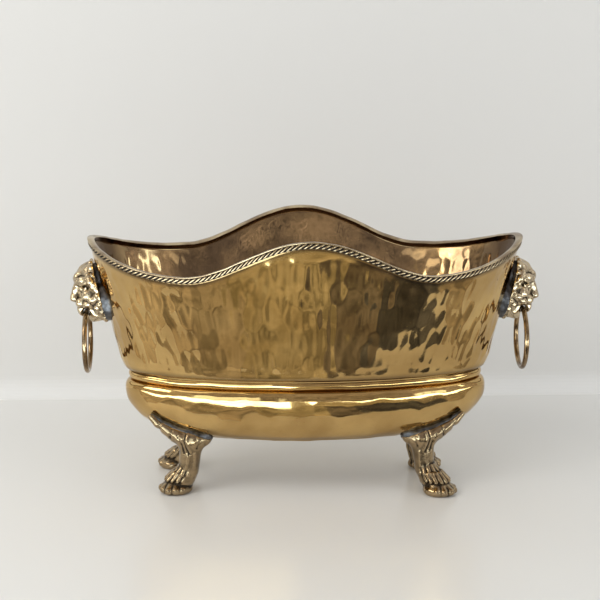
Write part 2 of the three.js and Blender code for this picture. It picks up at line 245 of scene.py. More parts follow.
# ------------------------------------------------------------------ materials
class Nodes:
    """Short ways to add shader nodes to one material."""

    def __init__(self, name):
        self.material = bpy.data.materials.new(name)
        self.material.use_nodes = True
        self.tree = self.material.node_tree
        self.shader = self.tree.nodes["Principled BSDF"]

    def add(self, kind, inputs=None, **settings):
        node = self.tree.nodes.new(kind)
        for key, value in settings.items():
            setattr(node, key, value)
        for key, value in (inputs or {}).items():
            if isinstance(value, bpy.types.NodeSocket):
                self.tree.links.new(value, node.inputs[key])
            else:
                node.inputs[key].default_value = value
        return node

    def place(self):
        return self.add("ShaderNodeTexCoord").outputs["Object"]

    def noise(self, scale, detail=3.0, stretch=(1, 1, 1), distortion=0.0):
        """Noise with scale features for each metre."""
        mapping = self.add("ShaderNodeMapping", {"Vector": self.place(), "Scale": stretch})
        inputs = {"Vector": mapping.outputs[0], "Scale": scale, "Detail": detail, "Distortion": distortion}
        return self.add("ShaderNodeTexNoise", inputs).outputs["Fac"]

    def spread(self, value, low, high, to_low=0.0, to_high=1.0):
        """Maps low..high to to_low..to_high, and no further."""
        inputs = {"Value": value, 1: low, 2: high, 3: to_low, 4: to_high}
        return self.add("ShaderNodeMapRange", inputs, clamp=True).outputs[0]

    def math(self, operation, first, second):
        return self.add("ShaderNodeMath", {0: first, 1: second}, operation=operation).outputs[0]

    def mix(self, factor, first, second):
        """Mixes two colours, each a socket or (r, g, b)."""
        colours = [c if isinstance(c, bpy.types.NodeSocket) else (*c, 1) for c in (first, second)]
        inputs = {"Factor": factor, 6: colours[0], 7: colours[1]}
        return self.add("ShaderNodeMix", inputs, data_type="RGBA").outputs[2]

    def bump(self, height, depth):
        """Fine relief of depth mm."""
        inputs = {"Height": height, "Strength": 1.0, "Distance": depth * MM}
        return self.add("ShaderNodeBump", inputs).outputs[0]

    def attribute(self, name):
        return self.add("ShaderNodeAttribute", attribute_name=name).outputs["Fac"]

    def finish(self, **values):
        """Sets or links the shader's own sockets."""
        for key, value in values.items():
            socket = self.shader.inputs[key.replace("_", " ").title().replace("Ior", "IOR")]
            if isinstance(value, bpy.types.NodeSocket):
                self.tree.links.new(value, socket)
            else:
                socket.default_value = value
        return self.material

    def one_sided(self, front):
        """The shader shows only on the side that its faces look out from; from behind it is clear."""
        side = self.add("ShaderNodeNewGeometry").outputs["Backfacing"]
        clear = self.add("ShaderNodeBsdfTransparent").outputs[0]
        mixed = self.add("ShaderNodeMixShader", {0: side, 1: front, 2: clear}).outputs[0]
        self.tree.links.new(mixed, self.tree.nodes["Material Output"].inputs["Surface"])
        return self.material


def brass(name, bright, deep, gloss, patch=28, speck=900, grain=0.02, shade_and_tarnish=None):
    """Polished sheet brass: patches of deeper colour, uneven gloss and fine hammer grain. Where a colour
    for painted shade and tarnish is given, a per-vertex attribute mixes it in.
    """
    n = Nodes(name)
    patches = n.spread(n.noise(patch, 4.0), 0.38, 0.62)
    specks = n.spread(n.noise(speck, 2.0), 0.6, 0.75)
    colour = n.mix(patches, bright, deep)
    colour = n.mix(n.math("MULTIPLY", specks, 0.25), colour, tuple(0.6 * c for c in deep))
    # Painted shade in creases and under the lip, and tarnish at the inner ends, mixed in from a per-vertex
    # attribute
    if shade_and_tarnish:
        colour = n.mix(n.attribute("shade_and_tarnish"), colour, shade_and_tarnish)
    rough = n.spread(n.noise(60, 5.0), 0.35, 0.65, gloss[0], gloss[1])
    relief = n.bump(n.noise(420, 2.0), grain)
    return n.finish(base_color=colour, metallic=1.0, roughness=rough, normal=relief)


def recess_shaded_brass(name, bright, deep, gloss, recess_low=0.25, recess_high=0.75):
    """Cast brass that darkens towards its deep colour in the recesses: painted shade."""
    n = Nodes(name)
    recess = n.spread(n.attribute("recess"), recess_low, recess_high)
    # Random blotches of stain add to the darkening
    darkening = n.spread(n.noise(140, 4.0), 0.35, 0.7)
    dark = n.math("ADD", recess, n.math("MULTIPLY", darkening, 0.3))
    dark = n.add("ShaderNodeClamp", {"Value": dark}).outputs[0]
    colour = n.mix(dark, bright, deep)
    rough = n.spread(dark, 0.0, 1.0, gloss[0], gloss[1])
    relief = n.bump(n.noise(900, 3.0), 0.08)
    return n.finish(base_color=colour, metallic=1.0, roughness=rough, normal=relief)


def solder_metal():
    """Dull grey solder with a lumpy, blotched skin."""
    n = Nodes("solder_skin")
    blotch = n.spread(n.noise(160, 4.0), 0.35, 0.65)
    colour = n.mix(blotch, (0.15, 0.15, 0.16), (0.05, 0.05, 0.053))
    relief = n.bump(n.noise(350, 3.0), 0.35)
    return n.finish(base_color=colour, metallic=0.85, roughness=0.42, normal=relief)


# The outside's dark mix colour is painted shade in its creases
OUTSIDE = brass(
    "polished_outside", (0.62, 0.42, 0.17), (0.48, 0.31, 0.12), (0.05, 0.12), shade_and_tarnish=(0.16, 0.11, 0.06))
# The inside is a darker brass than the outside; its dark mix colour is painted shade under the lip and
# tarnish at the long ends
INSIDE = brass(
    "darker_inside_brass", (0.49, 0.33, 0.165), (0.19, 0.13, 0.075), (0.06, 0.15), patch=24,
    shade_and_tarnish=(0.07, 0.04, 0.025))
LIP = brass("pale_lip", (0.56, 0.45, 0.29), (0.30, 0.22, 0.14), (0.14, 0.26), patch=60)
# The rope, masks and feet darken towards their deep colour in the recesses: painted shade
ROPE = recess_shaded_brass("rope_strands", (0.56, 0.43, 0.27), (0.022, 0.016, 0.012), (0.16, 0.5))
MASK = recess_shaded_brass("cast_masks", (0.60, 0.48, 0.32), (0.055, 0.042, 0.029), (0.2, 0.45), 0.38, 0.72)
FOOT = recess_shaded_brass("cast_feet", (0.41, 0.305, 0.18), (0.04, 0.03, 0.02), (0.12, 0.36), 0.32, 0.64)
BRONZE = brass("ring_bronze", (0.36, 0.255, 0.145), (0.16, 0.105, 0.058), (0.10, 0.22), patch=80)
SOLDER = solder_metal()


# ------------------------------------------------------------------ wall, bowl and rim
AROUND = 640                          # lattice columns round the pot
WALL_GIRTH = (168, 80)                 # half-axes where distances round the wall are measured
BOWL_GIRTH = (148, 56)                 # and the same for the bowl


def arc_positions(angles, a, b):
    """Distance round an oval at each angle, and its whole length."""
    loop = oval(angles, a, b, 0.0)
    steps = np.linalg.norm(np.roll(loop, -1, 0) - loop, axis=1)
    return np.cumsum(steps) - steps, steps.sum()


def upper_wall():
    angles = angles_round(AROUND)
    foot_rows, flare_rows, collar_rows = 6, 64, 6
    root = oval(angles, *WALL_ROOT)
    top = rim_level(angles, WALL_INSET, COLLAR_FOOT_DROP)
    share = np.linspace(0, 1, flare_rows)[None, :, None]
    flare = root[:, None] * (1 - share) + top[:, None] * share
    bow = 4 * share[..., 0] * (1 - share[..., 0]) * WALL_BOW * np.sin(angles)[:, None] ** 2
    flare -= lattice_normals(flare) * bow[..., None]
    drops = np.linspace(COLLAR_FOOT_DROP, LIP_THICKNESS, collar_rows + 1)[1:]
    collar = [rim_level(angles, WALL_INSET, drop) for drop in drops]
    turned_up = [FLANGE, (151.4, 57.2, FLANGE_Z + 1.2), (153.4, 58.9, FLANGE_Z + 4.4), WALL_ROOT]
    curl = spline(turned_up, foot_rows + 1)
    curled = np.stack([oval(angles, *level) for level in curl[:-1]], axis=1)
    outer = np.concatenate([curled, flare, np.stack(collar, axis=1)], axis=1)
    climb = np.linalg.norm(np.diff(outer, axis=1), axis=2)
    v = np.concatenate([np.zeros((AROUND, 1)), np.cumsum(climb, axis=1)], axis=1)
    u, length = arc_positions(angles, *WALL_GIRTH)
    marks = [(9, 10.5, 5.4, 5.0, 0.26, 0.07)]
    marks += [(24 + 19 * k, 8.2, 4.5, 12.5, 0.4, 0.13) for k in range(5)]
    stands = blurred(hammer_marks(u, v, length, marks, SEED), 1)
    from_top = v[:, -1:] - v
    fade = ease((v - 2) / 8)
    waves = 0.3 * ripple(outer, 75, SEED + 1) + 0.12 * ripple(outer, 30, SEED + 2)
    settle = ease((from_top - 4.5) / 14)
    outer = outer + lattice_normals(outer) * ((stands - 0.35 + waves) * fade * settle)[..., None]
    streaks = 0.055 * ripple(outer * (1, 1, 0.14), 5, SEED + 19) * ease((from_top - 5) / 6)
    wall = shell("hammered_wall", outer, SHEET + streaks, [OUTSIDE, INSIDE])
    # Painted shade: outside, darker in the crease at the bottom and just under the rope; inside, darker
    # under the lip's overhang. The inside's long ends get tarnish.
    lip_shadow = np.clip((4.6 - from_top) / 1.2, 0, 1)
    end_stain = 0.7 * ease((np.abs(np.cos(angles)) - 0.86) / 0.08)[:, None]
    crease_shade = 0.9 * np.clip((8 - v) / 5, 0, 1) + 0.85 * np.clip((9 - from_top) / 3, 0, 1)
    darkening = np.maximum(lip_shadow, end_stain)
    store(wall, "shade_and_tarnish", np.concatenate([np.minimum(crease_shade, 1), darkening[:, ::-1]], axis=1))
    install(wall, "pot", "hammered_brass", "upper_wall")


def lower_bowl():
    angles = angles_round(AROUND)
    outline = [(a, b, BOWL_BOTTOM_Z + z) for a, b, z in BOWL_OUTLINE]
    levels = spline(outline, 76)[::-1]
    outer = np.stack([oval(angles, *level) for level in levels], axis=1)
    climb = np.linalg.norm(np.diff(outer, axis=1), axis=2)
    v = np.concatenate([np.zeros((AROUND, 1)), np.cumsum(climb, axis=1)], axis=1)
    u, length = arc_positions(angles, *BOWL_GIRTH)
    marks = [(4 + 8.5 * k, 13.5, 7.2, 4.9, 0.13, 0.045) for k in range(11)]
    stands = blurred(hammer_marks(u, v, length, marks, SEED + 3), 1)
    waves = 0.45 * ripple(outer, 60, SEED + 4) + 0.2 * ripple(outer, 24, SEED + 5)
    from_top = v[:, -1:] - v
    neck = ease((from_top - 8) / 6)
    base = ease(v / 8)
    outer = outer + lattice_normals(outer) * ((stands - 0.25 + waves) * neck * base)[..., None]
    bowl = shell("hammered_bowl", outer, SHEET, [OUTSIDE, INSIDE])
    # Painted shade: the outside darkens in the crease under the waist band
    crease_shade = 0.9 * np.clip((10 - from_top) / 4, 0, 1)
    store(bowl, "shade_and_tarnish", np.concatenate([crease_shade, 0 * crease_shade], axis=1))
    install(bowl, "pot", "hammered_brass", "lower_bowl")


def base_plate():
    """The soldered-in bottom: a dished oval sheet with planished marks."""
    around, rings = 240, 26
    angles = angles_round(around)
    half = PLATE_HIGH[:2]
    share = np.linspace(1, 0.02, rings)
    top = np.stack([oval(angles, half[0] * s, half[1] * s, PLATE_HIGH[2]) for s in share], axis=1)
    marks = 0.12 * ripple(top, 16, SEED + 6) - 0.25 * (1 - share[None, :] ** 2)
    fade = ease((1 - share) * 8)[None, :]
    top[..., 2] += np.minimum(marks * fade, 0)
    bottom = top - np.array([0, 0, SHEET])
    points = np.concatenate([bottom[:, ::-1], top], axis=1)
    rows = points.shape[1]
    faces = loop_faces(around, rows, closed=False).tolist()
    faces.append([i * rows + rows - 1 for i in range(around)])
    faces.append([i * rows for i in range(around)][::-1])
    plate = mesh_object("bottom_plate", points.reshape(-1, 3), faces, [INSIDE], 50)
    install(plate, "pot", "hammered_brass", "base_plate")


def rim_lip():
    """The lip strip: flat and scribed along its outer edge, rounded down towards the inside."""
    angles = angles_round(AROUND)
    low, edge, crown, fall = LIP_THICKNESS, LIP_WIDTH, 2.4, 1.5
    slope = [(edge - (edge - crown) * s, fall * (1 - s) ** 1.6) for s in np.linspace(0, 1, 8)]
    section = [                        # inset from the outer edge, and drop from the top
        (0.35, 0.0), (0.1, 0.15), (0.0, 0.4), (0.05, low - 0.25), (0.3, low), (edge - 2, low),
        (edge - 0.4, low + 1.1), (edge - 0.05, fall + 0.5), *slope, (1.6, 0.05), (1.35, 0.22), (1.1, 0.02),
    ]
    points = np.stack([rim_level(angles, inset, drop) for inset, drop in section], axis=1)
    points += 0.18 * ripple(points, 22, SEED + 7)[..., None] * np.array([1, 1, 0.0])
    points[..., 2] -= 0.12 * (1 + ripple(points, 17, SEED + 8))
    faces = loop_faces(AROUND, len(section))[:, ::-1]
    lip = mesh_object("lip_strip", points.reshape(-1, 3), faces, [LIP], 50)
    install(lip, "pot", "pale_brass", "rim_lip")


def rope_trim():
    """A half-round moulding of slanting strands, all round under the lip and flat against the collar."""
    fine = angles_round(4000)
    line = rim_level(fine, WALL_INSET, ROPE_DROP)
    reach = np.append(0, np.cumsum(np.linalg.norm(np.roll(line, -1, 0) - line, axis=1)))
    strands = round(reach[-1] / STRAND_PITCH)
    across, up = 10, 11
    count = strands * across
    angles = np.interp(np.arange(count) * reach[-1] / count, reach, np.append(fine, 2 * math.pi))
    bend = np.linspace(0, math.pi, up)
    slant = -0.8 * np.cos(bend)
    phase = np.arange(count)[:, None] / across + slant[None, :]
    round_strand = np.abs(np.sin(math.pi * phase)) ** 1.25
    full = 0.35 + 0.65 * round_strand
    out = ROPE_DEPTH * np.sin(bend)[None, :] * full
    half = ROPE_HEIGHT / 2 * (0.86 + 0.14 * round_strand)
    drop = ROPE_DROP - half * np.cos(bend)[None, :]
    front = oval(angles[:, None], *RIM, rim_height(angles)[:, None] - drop, WALL_INSET - out - 0.02)
    points = front.reshape(-1, 3)
    rope = mesh_object("twisted_rope", points, loop_faces(count, up), [ROPE])
    # Painted shade: darker between the strands and along the rope's top and bottom edges, where it meets
    # the lip and the collar
    store(rope, "recess", 1.35 - 1.3 * round_strand * np.sin(bend)[None, :] ** 0.7)
    install(rope, "pot", "pale_brass", "rope_trim")


def waist_bead():
    """The half-round band soldered round the neck, a little uneven by hand."""
    around = 480
    angles = angles_round(around)
    low, high = BEAD_LOW[2], BEAD_HIGH[2]
    out = BEAD_HIGH[0] - NECK[0] - 0.3
    turns = np.linspace(0, math.pi, 13)
    middle, half = (low + high) / 2, (high - low) / 2
    section = [(0.3 + out * math.sin(t) ** 0.8, middle - half * math.cos(t)) for t in turns]
    points = np.stack([oval(angles, *NECK, z, -stand) for stand, z in section], axis=1)
    lean = 0.35 * ripple(points, 26, SEED + 9)
    points[..., 2] += lean * np.sin(turns)[None, :]
    band = mesh_object("waist_band", points.reshape(-1, 3), loop_faces(around, len(section)), [OUTSIDE], 70)
    install(band, "pot", "hammered_brass", "waist_bead")


# ------------------------------------------------------------------ modelling in clay
def smooth_min(a, b, blend):
    """The lesser of two fields, rounded over where they meet."""
    if blend <= 0:
        return np.minimum(a, b)
    h = np.clip(0.5 + 0.5 * (b - a) / blend, 0, 1)
    return b + (a - b) * h - blend * h * (1 - h)


def smooth_max(a, b, blend):
    """The greater of two fields, rounded over where they meet."""
    return -smooth_min(-a, -b, blend)


class Clay:
    """A block of space with the signed distance, in mm, to a shape built up in it; negative is inside."""

    def __init__(self, low, high, step):
        self.low, self.step = np.array(low, float), step
        axes = [np.arange(a, b, step, dtype=np.float32) for a, b in zip(low, high)]
        self.x, self.y, self.z = np.meshgrid(*axes, indexing="ij")
        self.field = np.full(self.x.shape, 99.0, np.float32)

    def ellipsoid(self, centre, radii):
        parts = [(axis - c) / r for axis, c, r in zip((self.x, self.y, self.z), centre, radii)]
        near = np.sqrt(sum(q * q for q in parts)) + 1e-6
        steep = np.sqrt(sum((q / r) ** 2 for q, r in zip(parts, radii))) + 1e-6
        return near * (near - 1) / steep

    def cone(self, start, end, r0, r1):
        """A round-ended cone from start to end."""
        a, b = np.array(start, float), np.array(end, float)
        ab = b - a
        pa = [self.x - a[0], self.y - a[1], self.z - a[2]]
        share = np.clip(sum(q * k for q, k in zip(pa, ab)) / (ab @ ab), 0, 1)
        away = np.sqrt(sum((q - k * share) ** 2 for q, k in zip(pa, ab)))
        return away - (r0 + (r1 - r0) * share)

    def chain(self, joints, blend):
        """Round cones from joint to joint; each joint is (x, y, z, radius)."""
        field = None
        for a, b in zip(joints, joints[1:]):
            link = self.cone(a[:3], b[:3], a[3], b[3])
            field = link if field is None else smooth_min(field, link, blend)
        return field

    def outline(self, across, up, corners):
        """Distance to a prism with a polygon outline, given the two coordinates it is drawn in."""
        corners = np.array(corners, float)
        away = np.full(across.shape, 1e9, np.float32)
        inside = np.zeros(across.shape, bool)
        for a, b in zip(corners, np.roll(corners, -1, 0)):
            edge = b - a
            pa = (across - a[0], up - a[1])
            share = np.clip((pa[0] * edge[0] + pa[1] * edge[1]) / (edge @ edge), 0, 1)
            away = np.minimum(away, (pa[0] - edge[0] * share) ** 2 + (pa[1] - edge[1] * share) ** 2)
            crosses = (a[1] > up) != (b[1] > up)
            if a[1] != b[1]:
                inside ^= crosses & (across < edge[0] * (up - a[1]) / edge[1] + a[0])
        return np.where(inside, -1, 1) * np.sqrt(away)

    def line(self, path, width, depth):
        """Presses a line into the skin, or raises it if depth is negative.

        The path is made of (x, z) points, as seen from the front.
        """
        away = np.full(self.x.shape, 1e9, np.float32)
        for a, b in zip(path, path[1:]):
            edge = (b[0] - a[0], b[1] - a[1])
            pa = (self.x - a[0], self.z - a[1])
            share = np.clip((pa[0] * edge[0] + pa[1] * edge[1]) / (edge[0] ** 2 + edge[1] ** 2), 0, 1)
            away = np.minimum(away, (pa[0] - edge[0] * share) ** 2 + (pa[1] - edge[1] * share) ** 2)
        self.field += depth * np.exp(-away / width ** 2) * (self.y < -20)

    def add(self, shape, blend=0.0):
        self.field = smooth_min(self.field, shape, blend)

    def cut(self, shape, blend=0.0):
        self.field = -smooth_min(-self.field, shape, blend)

    def keep(self, shape, blend=0.0):
        self.field = -smooth_min(-self.field, -shape, blend)

    def places(self):
        return np.stack([self.x, self.y, self.z], -1)


def skin_of(clay):
    """Points and quads of the clay's surface: one point for each grid cell that the surface crosses."""
    d = np.pad(clay.field, 1, constant_values=9.0)
    inside = d < 0
    mixed = np.zeros(tuple(n - 1 for n in d.shape), bool)
    corner = inside[:-1, :-1, :-1]
    offsets = [(i, j, k) for i in (0, 1) for j in (0, 1) for k in (0, 1)]

    def shifted(array, offset):
        return array[tuple(slice(o, n - 1 + o) for o, n in zip(offset, d.shape))]

    for offset in offsets:
        mixed |= shifted(inside, offset) != corner
    cells = np.argwhere(mixed)
    total, count = np.zeros((len(cells), 3)), np.zeros(len(cells))
    for axis in range(3):
        for offset in offsets:
            if offset[axis]:
                continue
            start = cells + np.array(offset)
            end = start.copy()
            end[:, axis] += 1
            a, b = d[tuple(start.T)], d[tuple(end.T)]
            crossing = (a < 0) != (b < 0)
            share = np.where(crossing, a / np.where(crossing, a - b, 1), 0)
            point = np.array(offset, float)[None, :].repeat(len(cells), 0)
            point[:, axis] = share
            total += point * crossing[:, None]
            count += crossing
    points = (cells + total / count[:, None] - 1) * clay.step + clay.low
    index = np.full(mixed.shape, -1)
    index[tuple(cells.T)] = np.arange(len(cells))
    faces = []
    for axis in range(3):
        one, two = (axis + 1) % 3, (axis + 2) % 3
        step = np.eye(3, dtype=int)
        low = tuple(slice(0, n - 1) if k == axis else slice(1, n - 1) for k, n in enumerate(d.shape))
        high = tuple(slice(1, n) if k == axis else slice(1, n - 1) for k, n in enumerate(d.shape))
        change = inside[low].astype(int) - inside[high].astype(int)
        for sign in (1, -1):
            at = np.argwhere(change == sign) + 1 - step[axis]
            around = [at, at - step[one], at - step[one] - step[two], at - step[two]]
            quad = np.stack([index[tuple(c.T)] for c in around], -1)
            faces.append(quad if sign > 0 else quad[:, ::-1])
    return points, np.concatenate(faces)


def relaxed(points, faces, passes, pull=0.5):
    """Points moved towards the middle of their neighbours."""
    start = np.concatenate([faces.ravel(), np.roll(faces, -1, 1).ravel()])
    end = np.concatenate([np.roll(faces, -1, 1).ravel(), faces.ravel()])
    share = 1 / np.bincount(start, minlength=len(points))
    for _ in range(passes):
        middle = np.stack([np.bincount(start, points[end, k], len(points)) * share for k in range(3)], -1)
        points = points + (middle - points) * pull
    return points


def point_normals(points, faces):
    corners = points[faces]
    square = np.cross(corners[:, 2] - corners[:, 0], corners[:, 3] - corners[:, 1])
    corner_of = faces.ravel()
    normals = np.stack([
        np.bincount(corner_of, np.repeat(square[:, k], 4), len(points)) for k in range(3)], -1)
    return normals / np.maximum(np.linalg.norm(normals, axis=1, keepdims=True), 1e-9)


def cast_from(clay):
    """The clay's surface, and how deep each point lies in a recess: 0 on high places, 1 in the grooves; the
    cast materials paint shade from it.
    """
    points, faces = skin_of(clay)
    points = relaxed(points, faces, 1)
    broad = relaxed(points, faces, 24, 0.8)
    depth = np.einsum("ij,ij->i", broad - points, point_normals(points, faces))
    return points, faces, np.clip(0.42 + depth / 0.9, 0, 1)


def copy_of(cast, name, materials, turn=0.0, mirror=False):
    """A cast piece turned about the pot's axis, or mirrored across its middle."""
    points, faces, recess = cast
    if mirror:
        points, faces = points * (-1, 1, 1), faces[:, ::-1]
    spin = np.array(Matrix.Rotation(turn, 3, "Z"))
    obj = mesh_object(name, points @ spin.T, faces, materials)
    store(obj, "recess", recess)
    return obj


# ------------------------------------------------------------------ paw feet
ANKLE = (97, -29)                      # axis of the front right ankle
BRACKET = [                            # (x, y, z, radius) along the leaf that lies under the bowl
    (86, -29, 47.5, 6.5), (94, -30, 47, 8.2), (102, -30, 48, 7.8), (110, -29.5, 51.5, 6.5),
    (117, -29, 56, 5), (124, -28.5, 60.8, 3.6), (129, -27.5, 65.5, 2.6),
]
FOOT_SOLDER = 2.7                      # thickness of the solder between foot and bowl


def bowl_distance(clay, margin):
    """Distance from the bowl's outside grown by a margin; negative is inside it."""
    levels = spline([(a, b, BOWL_BOTTOM_Z + z) for a, b, z in BOWL_OUTLINE[3:-1]], 60)[::-1]
    a = np.interp(clay.z, levels[:, 2], levels[:, 0])
    b = np.interp(clay.z, levels[:, 2], levels[:, 1])
    ratio = np.sqrt((clay.x / a) ** 2 + (clay.y / b) ** 2) - 1
    steep = np.sqrt(sum(g ** 2 for g in np.gradient(ratio, clay.step))) + 1e-6
    return np.maximum(ratio / steep, BOWL_BOTTOM_Z - clay.z) - margin


def bracket_field(clay):
    return clay.chain(BRACKET, 3)


def foot_clay(toe_angle, paw):
    """The front right foot: a lion's leg, a paw whose middle is paw = (x, y) from the ankle, and a leaf."""
    clay = Clay((74, -68, -1.2), (139, -8, 78), 0.5)

    def joint(share, reach, bearing, z, radius):
        """A joint beside the line from ankle to paw; bearings are degrees from the way the toes point."""
        turn = toe_angle + math.radians(bearing)
        x = ANKLE[0] + share * paw[0] + reach * math.cos(turn)
        y = ANKLE[1] + share * paw[1] + reach * math.sin(turn)
        return (x, y, z, radius)

    leg = [joint(share, 0, 0, z, radius) for share, z, radius in (
        (-0.06, 43, 9.4), (0.06, 34, 8.2), (0.1, 27, 7.8),
        (0.16, 20, 7.8), (0.48, 13, 8.8), (0.92, 6.5, 10.2))]
    clay.add(clay.chain(leg, 3))
    clay.add(bracket_field(clay), 6)
    lobes = (
        ((124.5, -30.4, 60.6), (129.6, -29, 66), 3.4, 2.6), ((114.5, -32.2, 54), (121, -31, 59), 4.6, 3.4),
        ((104.5, -34.2, 48.6), (112, -33.2, 52.8), 5.2, 4.0))
    for start, end, r0, r1 in lobes:
        clay.add(clay.cone(start, end, r0, r1), 0.8)
    clay.line([(120.5, 67), (123.5, 54)], 1.2, 0.55)
    clay.line([(111.5, 61), (114.5, 47)], 1.2, 0.55)
    clay.line([(107.5, 51), (104, 44), (102.5, 37)], 1.1, 0.7)
    clay.line([(100.5, 54), (102.5, 48), (101, 42), (98.5, 36)], 0.9, 0.6)
    clay.line([(98.6, 54), (100.4, 48), (98.9, 42), (97, 38)], 0.8, -0.45)
    clay.line([(89.5, 54), (90, 47), (92, 41)], 1.1, 0.5)
    clay.line([(93.8, 36), (93.6, 30), (94.4, 24)], 1.2, -0.6)
    clay.line([(99.6, 34), (100, 28), (101.4, 23)], 1.2, -0.6)
    sole = joint(1, 0, 0, 3.5, 0)[:3]
    clay.add(clay.ellipsoid(sole, (13.8, 13.8, 7)), 2)
    for bearing in range(-105, 106, 30):
        tuft = [joint(0.28, 5.6, bearing, 22.5, 2.5), joint(0.42, 9.0, bearing, 17.6, 1.6)]
        clay.add(clay.chain(tuft, 1), 0.8)
    for bearing in range(-100, 101, 25):
        tuft = [joint(0.6, 7.6, bearing, 17, 2.5), joint(0.85, 10.6, bearing, 11.8, 1.5)]
        clay.add(clay.chain(tuft, 1), 0.8)
    for bearing in range(-56, 57, 28):
        reach = 12.8 - abs(bearing) / 45
        toe = [joint(1, reach - 5, bearing, 6, 4.2), joint(1, reach, bearing, 4, 3.3)]
        clay.add(clay.chain(toe, 1), 0.7)
    hollow = [joint(share, 0, 0, z, radius) for share, z, radius in (
        (-0.5, 1, 4), (-0.6, 14, 3.2), (-0.75, 25, 2.4))]
    clay.cut(clay.chain(hollow, 2), 1)
    places = clay.places()
    clay.field += 0.14 * ripple(places, 5, SEED + 11) * np.clip((20 - clay.z) / 12, 0, 1)
    clay.field += 0.10 * ripple(places, 9, SEED + 12)
    clay.cut(bowl_distance(clay, FOOT_SOLDER))
    clay.cut(clay.z)
    return clay


def solder_clay():
    """The solder that fills the joint between that foot and the bowl, set back a little from the leaf."""
    clay = Clay((74, -48, 38), (139, -8, 82), 0.5)
    bed = bracket_field(clay) - 0.5 + 0.5 * ripple(clay.places(), 7, SEED + 13)
    clay.add(smooth_max(bed, bowl_distance(clay, FOOT_SOLDER + 0.15), 0.6))
    clay.cut(bowl_distance(clay, -0.5))
    return clay


def paw_feet():
    """Four feet set by hand: each paw turns out from the pot's long axis by its own angle."""
    bed = cast_from(solder_clay())
    corners = (
        ("front_right", False, 0, -48, (13.5, -10)), ("front_left", True, 0, -62, (13, 3)),
        ("back_left", False, math.pi, -36, (17, -14)), ("back_right", True, math.pi, -10, (9, -3)))
    for place, mirror, turn, toes, paw_middle in corners:
        foot = cast_from(foot_clay(math.radians(toes), paw_middle))
        paw = copy_of(foot, f"lion_paw_{place}", [FOOT], turn, mirror)
        install(paw, "pot", "old_brass", f"paw_foot_{place}")
        joint = copy_of(bed, f"solder_bed_{place}", [SOLDER], turn, mirror)
        install(joint, "pot", "solder", f"foot_solder_{place}")


# ------------------------------------------------------------------ lion masks
MASK_TILT = math.radians(13.5)
MASK_PLACE = (171.3, 0, 168)           # middle of the right mask's flat back
MOUTH_OUT, MOUTH_UP = 16, -14.4        # the ring's hole, out from the back and up the mask


